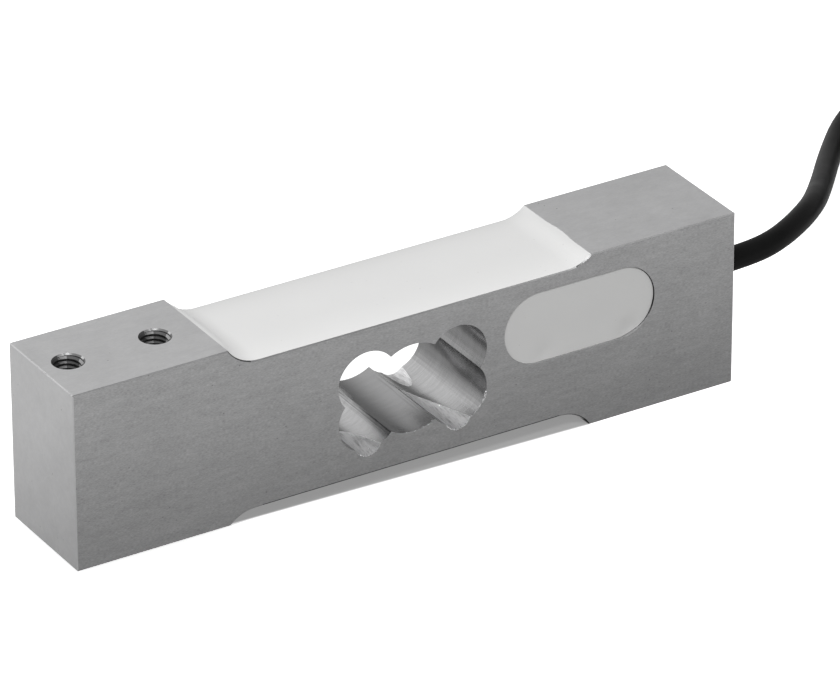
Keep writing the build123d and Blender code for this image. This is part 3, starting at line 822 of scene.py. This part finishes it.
def pocket_outline(radius):
    """Points round the pocket at that distance from the line between its two centres"""
    points = []
    for end in (1, -1):
        for k in range(round_steps + 1):
            angle = end * pi / 2 - pi * k / round_steps
            x = pocket_centre.x + end * pocket_run + radius * cos(angle)
            points.append((x, pocket_centre.z + radius * sin(angle)))
    outline = []
    for (x, z), (next_x, _) in zip(points, points[1:] + points[:1]):
        outline.append((x, z))
        if abs(next_x - x) > pocket_run:
            outline += [(x + (next_x - x) * k / straight_steps, z) for k in range(1, straight_steps)]
    return outline


def pocket_sink(x, z, share):
    """How far below its own rim the silicone stands; share is 1 at the wall, 0 in the middle"""
    sink = 0.0
    for dimple_x, dimple_z, size, depth in pocket_dimples:
        sink += depth * exp(-((x - dimple_x) ** 2 + (z - dimple_z) ** 2) / size**2)
    sink += middle_sink * (1 - share**4) + rim_sink * share**14
    sink += pocket_ripple * noise.noise(Vector((x, z, 0.4)) * pocket_ripples_per_metre)
    return sink + right_sink * (x - pocket_low.x) / (pocket_high.x - pocket_low.x)


form = bmesh.new()
rings = []
for share in ring_shares:
    ring = []
    for x, z in pocket_outline(pocket_r * share):
        across_x = (x - pocket_centre.x) / pocket_half.x
        across_z = (z - pocket_centre.z) / pocket_r
        gap = rim_gap + rim_gap_right * max(0.0, across_x) ** 2 + rim_gap_top * max(0.0, across_z) ** 2
        x -= share**12 * gap * across_x
        z -= share**12 * gap * across_z
        ring.append(form.verts.new((x, pocket_low.y + pocket_sink(x, z, share), z)))
    rings.append(ring)
back = [form.verts.new((x, pocket_high.y, z)) for x, z in pocket_outline(pocket_r)]
for ring, following in zip([back] + rings, rings):
    for k in range(len(ring)):
        form.faces.new((ring[k], ring[k - 1], following[k - 1], following[k]))
form.faces.new(rings[-1])
form.faces.new(back)
# A darker tint than the recess silicone's: painted shade on the same compound in the upright pocket
pocket_silicone_painted_shade = silicone("white_silicone_painted_shade", (0.62, 0.62, 0.615))
pocket_skin = own_mesh("pocket_silicone_fill", form, pocket_silicone_painted_shade)
pocket_skin.data.set_sharp_from_angle(angle=radians(50))
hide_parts("pocket_potting")

# The cable: 5 mm round, four cores and a screen in a black jacket, about a metre long. It leaves the
# end face straight, drops to the bench in one curve and is wound into a flat coil of two layers. The
# free run and the tail are points in millimetres; the tail's are angle, radius and height in the coil.
cable_r = 2.5 * mm
free_route = [
    (75.0, -3.0, 21.9),
    (85.1, -3.0, 21.9),
    (94.9, 0.1, 21.6),
    (109.3, 10.4, 19.8),
    (124.8, 29.2, 12.6),
    (141.4, 50.4, 5.6),
    (158.0, 68.6, 2.5),
    (172.6, 77.4, 2.5),
    (183.5, 82.1, 3.2),
]
tail_route = [
    (39.0, 34.0, 8.7),
    (18.0, 37.6, 8.6),
    (-4.0, 41.0, 5.8),
    (-25.0, 41.8, 2.7),
    (-46.0, 41.2, 2.8),
    (-66.0, 41.4, 2.9),
    (-80.0, 42.0, 2.9),
]
outer_turn_r = 35.0
wound_turns = 4
turn_gap = 5.0
layer_rise = turn_gap * sqrt(3) / 2
lower_z = 3.2
turn_step = 15
steady_turn = 240
last_run = Vector(free_route[-1]) - Vector(free_route[-2])
heading = Vector((last_run.x, last_run.y, 0)).normalized()
coil_middle = Vector(free_route[-1]) + Vector((heading.y, -heading.x, 0)) * outer_turn_r
coil_middle.z = 0
start_degrees = degrees(-Vector((1, 0)).angle_signed(Vector((-heading.y, heading.x))))


def coil_place(wound):
    """Radius and height of the cable's middle after it has been wound through that many degrees"""
    turn, part = divmod(wound, 360)
    shift = max(0.0, (part - steady_turn) / (360 - steady_turn))
    if turn < 2:
        return outer_turn_r - turn_gap * (turn + shift), lower_z
    if turn == 2:
        lean = radians(180 - 120 * shift)
        turn_below = outer_turn_r - turn_gap * (1 + shift)
        return turn_below + turn_gap * cos(lean), lower_z + turn_gap * sin(lean)
    if turn == 3:
        crossed = 2 * turn_gap * shift
        off_top = min(abs(crossed - turn_gap / 2), abs(crossed - 1.5 * turn_gap))
        climb = sqrt(turn_gap**2 - off_top**2)
        return outer_turn_r - 1.5 * turn_gap + turn_gap * shift, lower_z + climb
    return outer_turn_r - turn_gap / 2, lower_z + layer_rise


def about_coil(angle, radius, height):
    """A point by its angle in degrees, radius and height about the coil's middle"""
    out = Vector((cos(radians(angle)), sin(radians(angle)), 0))
    return coil_middle + out * radius + Vector((0, 0, height))


pull_in = cos(radians(turn_step / 2))
cable_points = [Vector(point) for point in free_route]
for wound in range(turn_step, wound_turns * 360 + 4 * turn_step, turn_step):
    radius, height = coil_place(wound)
    cable_points.append(about_coil(start_degrees - wound, radius / pull_in, height))
cable_points += [about_coil(*point) for point in tail_route]


black_ior = 1.17
rub_size = 0.006
rub_shine = 0.01
rub_in_gloss = 0.16
black_grain_depth = 0.04 * mm


def black_plastic(name, tone, roughness, grain):
    """Near black and satin, with a fine grain of that many bumps to the metre and the odd rub mark"""
    material = bpy.data.materials.new(name)
    material.use_nodes = True
    tree = material.node_tree
    place = shader_step(tree, "ShaderNodeTexCoord").outputs["Object"]
    worn = use_group(tree, handling, {"Place": place, "Stain size": rub_size})
    skin = shader_step(
        tree, "ShaderNodeTexNoise", {"Vector": place, "Scale": grain, "Detail": 3.0, "Roughness": 0.6}
    ).outputs["Fac"]
    shade = sums(tree, "MULTIPLY_ADD", worn["Stains"], tone * 0.5, tone * 0.75)
    shade = sums(tree, "MULTIPLY_ADD", worn["Scratches"], rub_shine, shade)
    colour = shader_step(tree, "ShaderNodeCombineColor", {0: shade, 1: shade, 2: shade}).outputs[0]
    rough = sums(tree, "MULTIPLY_ADD", worn["Stains"], rub_in_gloss, roughness - rub_in_gloss / 2)
    relief = shader_step(
        tree, "ShaderNodeBump", {"Height": skin, "Strength": 0.3, "Distance": black_grain_depth}
    ).outputs["Normal"]
    shader = tree.nodes["Principled BSDF"]
    shader.inputs["IOR"].default_value = black_ior
    tree.links.new(colour, shader.inputs["Base Color"])
    tree.links.new(rough, shader.inputs["Roughness"])
    tree.links.new(relief, shader.inputs["Normal"])
    return material


black_jacket = black_plastic("cable_jacket_black", 0.007, 0.42, 1300.0)
line = bpy.data.curves.new("signal_cable", "CURVE")
line.dimensions = "3D"
line.resolution_u = 6
line.bevel_depth = cable_r
line.bevel_resolution = 8
line.use_fill_caps = True
spline = line.splines.new("NURBS")
spline.points.add(len(cable_points) - 1)
for knot, point in zip(spline.points, cable_points):
    knot.co = (*(point * mm), 1.0)
spline.order_u = 3
spline.use_endpoint_u = True
line.materials.append(black_jacket)
cable = bpy.data.objects.new("signal_cable", line)
bpy.context.scene.collection.objects.link(cable)
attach(cable, "root")
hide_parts("cable_tube", "cable_coil", "cable_tail")

# The cable's fittings: a bead of black sealant at the end face, two nylon ties round the coil, and a
# shrunk sleeve, four insulated cores with tinned tips and the bare screen wire at the stripped end.
core_colours = ("red", "black", "green", "white")
on_cable = ["cable_entry_seal", "coil_tie_1", "coil_tie_2", "cable_sleeve", "end_drain_wire"]
on_cable += [f"end_core_{colour}" for colour in core_colours]
on_cable += [f"core_tip_{colour}" for colour in core_colours]
dress("cable_entry_seal", black_plastic("black_sealant", 0.012, 0.30, 700.0), 40)
nylon = black_plastic("tie_nylon", 0.02, 0.45, 2200.0)
dress("coil_tie_1", nylon)
dress("coil_tie_2", nylon)
dress("cable_sleeve", black_plastic("shrunk_sleeve", 0.016, 0.40, 1000.0))
dressed |= {"cable_entry_seal", "coil_tie_1", "coil_tie_2", "cable_sleeve"}

# Everything under the silicone and inside the bar, and the stripped cores at the cable's end: gauges,
# strips, wires, solder, the board and its resistors. They are glued and soldered in by hand, so each
# keeps its own colour under a mottle of varnish and flux.
shop_stain_size = 0.0015
shop_grain = (2500, 2500, 2500)
shop_stain_depth = 0.3
shop_grain_depth = 0.02 * mm
bare_wire_roughness = 0.15
coated_roughness = 0.35
slot_colours = {entry["slot"]: entry["base_color"] for entry in frame["record"]["materials"]}
slot_classes = {entry["slot"]: entry["class"] for entry in frame["record"]["materials"]}


def shop_finish(slot):
    """A finish in the slot's colour, with a mottle of varnish, flux and handling"""
    material = bpy.data.materials.new(slot + "_finish")
    material.use_nodes = True
    tree = material.node_tree
    place = shader_step(tree, "ShaderNodeTexCoord").outputs["Object"]
    worn = use_group(tree, handling, {"Place": place, "Stain size": shop_stain_size})
    grain = marks_along(tree, place, shop_grain, 0.5)
    shade = sums(tree, "MULTIPLY_ADD", worn["Stains"], shop_stain_depth, 1 - shop_stain_depth / 2)
    parts = [sums(tree, "MULTIPLY", shade, part) for part in slot_colours[slot][:3]]
    colour = shader_step(tree, "ShaderNodeCombineColor", dict(enumerate(parts))).outputs[0]
    metal = slot_classes[slot] == "brushed_steel"
    smoothest = bare_wire_roughness if metal else coated_roughness
    rough = sums(tree, "MULTIPLY_ADD", grain, 0.2, smoothest)
    relief = shader_step(
        tree, "ShaderNodeBump", {"Height": grain, "Strength": 0.3, "Distance": shop_grain_depth}
    ).outputs["Normal"]
    shader = tree.nodes["Principled BSDF"]
    shader.inputs["Metallic"].default_value = 1.0 if metal else 0.0
    tree.links.new(colour, shader.inputs["Base Color"])
    tree.links.new(rough, shader.inputs["Roughness"])
    tree.links.new(relief, shader.inputs["Normal"])
    return material


shop_finishes = {}
for subpart in frame["record"]["subparts"]:
    name, slot = subpart["node"], subpart["material_slot"]
    if name in dressed:
        continue
    if slot not in shop_finishes:
        shop_finishes[slot] = shop_finish(slot)
    dress(name, shop_finishes[slot])

# The table: a wide sheet of white card under soft light. It takes the bar's shadow, and seen straight
# it glows up to the white of the background. In a reflection it is paler than its own tone, with
# painted shade near the bar's face. The strip below the bottom recess is a painted shadow: there the
# card's tone and glow are lowered, on top of the real shadow that the bar casts.
half_card = 4.0
card_tone = 0.45
card_in_metal = 0.8
# Painted shade on the card, in reflections, near the bar's face
card_painted_shade_in_metal = 0.2
near_reach = 75 * mm
open_glow = 0.85
shade_glow = 0.27
shade_tone = 0.15
foot_line_y = 1.4 * mm
soft_edge = 0.6 * mm
card = bpy.data.objects.new("table_card", bpy.data.meshes.new("table_card"))
corners = [(x * half_card, y * half_card, 0) for x, y in ((-1, -1), (1, -1), (1, 1), (-1, 1))]
card.data.from_pydata(corners, [], [(0, 1, 2, 3)])
bpy.context.scene.collection.objects.link(card)
card_material = bpy.data.materials.new("white_card")
card_material.use_nodes = True
tree = card_material.node_tree
tree.nodes.remove(tree.nodes["Principled BSDF"])
rays = shader_step(tree, "ShaderNodeLightPath").outputs
seen_straight = sums(tree, "MAXIMUM", rays["Is Camera Ray"], rays["Is Transmission Ray"])
place = shader_step(tree, "ShaderNodeTexCoord").outputs["Object"]
at = shader_step(tree, "ShaderNodeSeparateXYZ", {0: place}).outputs
from_face = apart(tree, at["Y"], bar_low.y)
in_metal = blend(tree, band(tree, from_face, 0.0, near_reach), card_painted_shade_in_metal, card_in_metal)
in_reflection = sums(tree, "MULTIPLY", rays["Is Glossy Ray"], in_metal)
seen = sums(tree, "MAXIMUM", seen_straight, in_reflection)
behind_face = sums(tree, "SUBTRACT", at["Y"], bar_low.y)
behind_feet = sums(tree, "MULTIPLY_ADD", at["X"], foot_line_y / recess_edge, behind_face)
# The painted shadow on the card below the bottom recess
painted_shadow_zone = meet(
    tree,
    under(tree, size_of(tree, at["X"]), recess_edge),
    under(tree, at["Y"], bar_high.y),
    band(tree, behind_feet, foot_line_y - soft_edge, foot_line_y + soft_edge),
)
tone = blend(tree, seen, card_tone, blend(tree, painted_shadow_zone, 1.0, shade_tone))
paper = shader_step(tree, "ShaderNodeCombineColor", {0: tone, 1: tone, 2: tone}).outputs[0]
matt = shader_step(tree, "ShaderNodeBsdfDiffuse", {"Color": paper}).outputs[0]
lift = sums(tree, "MULTIPLY", seen_straight, blend(tree, painted_shadow_zone, open_glow, shade_glow))
glow = shader_step(tree, "ShaderNodeEmission", {"Strength": lift}).outputs[0]
together = shader_step(tree, "ShaderNodeAddShader", {0: matt, 1: glow}).outputs[0]
tree.links.new(together, tree.nodes["Material Output"].inputs["Surface"])
card.data.materials.append(card_material)

# The room: plain white to the camera and soft light on the object. In the metal it is white at one far
# upper corner and darker to the other side, as the reflections in the real bar show.
room_light = 0.5
sky_way = Vector((-0.5, 0.6, 0.6)).normalized()
sky_far = 0.22
sky_edge, sky_core = 0.1, 0.98
room = bpy.data.worlds.new("white_room")
room.use_nodes = True
bpy.context.scene.world = room
tree = room.node_tree
rays = shader_step(tree, "ShaderNodeLightPath").outputs
seen_straight = sums(tree, "MAXIMUM", rays["Is Camera Ray"], rays["Is Transmission Ray"])
way = shader_step(tree, "ShaderNodeTexCoord").outputs["Generated"]
wires = {0: way, 1: sky_way}
towards = shader_step(tree, "ShaderNodeVectorMath", wires, operation="DOT_PRODUCT").outputs["Value"]
in_metal = blend(tree, band(tree, towards, sky_edge, sky_core), sky_far, 1.0)
strength = blend(tree, rays["Is Glossy Ray"], room_light, in_metal)
strength = blend(tree, seen_straight, strength, 1.0)
tree.links.new(strength, tree.nodes["Background"].inputs["Strength"])
tree.nodes["Background"].inputs["Color"].default_value = (1, 1, 1, 1)

# The lamp: one round soft box on the camera's side and above it, so that the bar hides its own shadow.
# It hangs from an arm that turns about a point in the bar.
lamp_aim = Vector((0.03, 0, 0.02))
lamp_azimuth = radians(-31.4)
lamp_elevation = radians(50)
lamp_distance = 1.35
lamp_size = 0.24
lamp = bpy.data.lights.new("soft_box", "AREA")
lamp.shape = "DISK"
lamp.size = lamp_size
lamp.energy = 9.4
holder = bpy.data.objects.new("soft_box", lamp)
swing = Matrix.Rotation(lamp_azimuth, 4, "Z") @ Matrix.Rotation(pi / 2 - lamp_elevation, 4, "X")
arm = Matrix.Translation((0, 0, lamp_distance))
holder.matrix_world = Matrix.Translation(lamp_aim) @ swing @ arm
bpy.context.scene.collection.objects.link(holder)

# The camera: a long lens above the left front. Its place, aim and roll were worked out from the bar's
# edges in the photograph.
view = bpy.data.cameras.new("bench_camera")
view.lens = 305.7
view.sensor_width = 36.0
view.clip_end = 40.0
camera = bpy.data.objects.new("bench_camera", view)
camera_place = Vector((-633.42, -1052.06, 685.37)) * mm
camera_azimuth = radians(-31.424)
camera_elevation = radians(28.354)
camera_roll = radians(-0.116)
aim = Matrix.Rotation(camera_azimuth, 4, "Z") @ Matrix.Rotation(pi / 2 - camera_elevation, 4, "X")
camera.matrix_world = Matrix.Translation(camera_place) @ aim @ Matrix.Rotation(camera_roll, 4, "Z")
bpy.context.scene.collection.objects.link(camera)
bpy.context.scene.camera = camera
bpy.context.scene.view_settings.view_transform = "Standard"
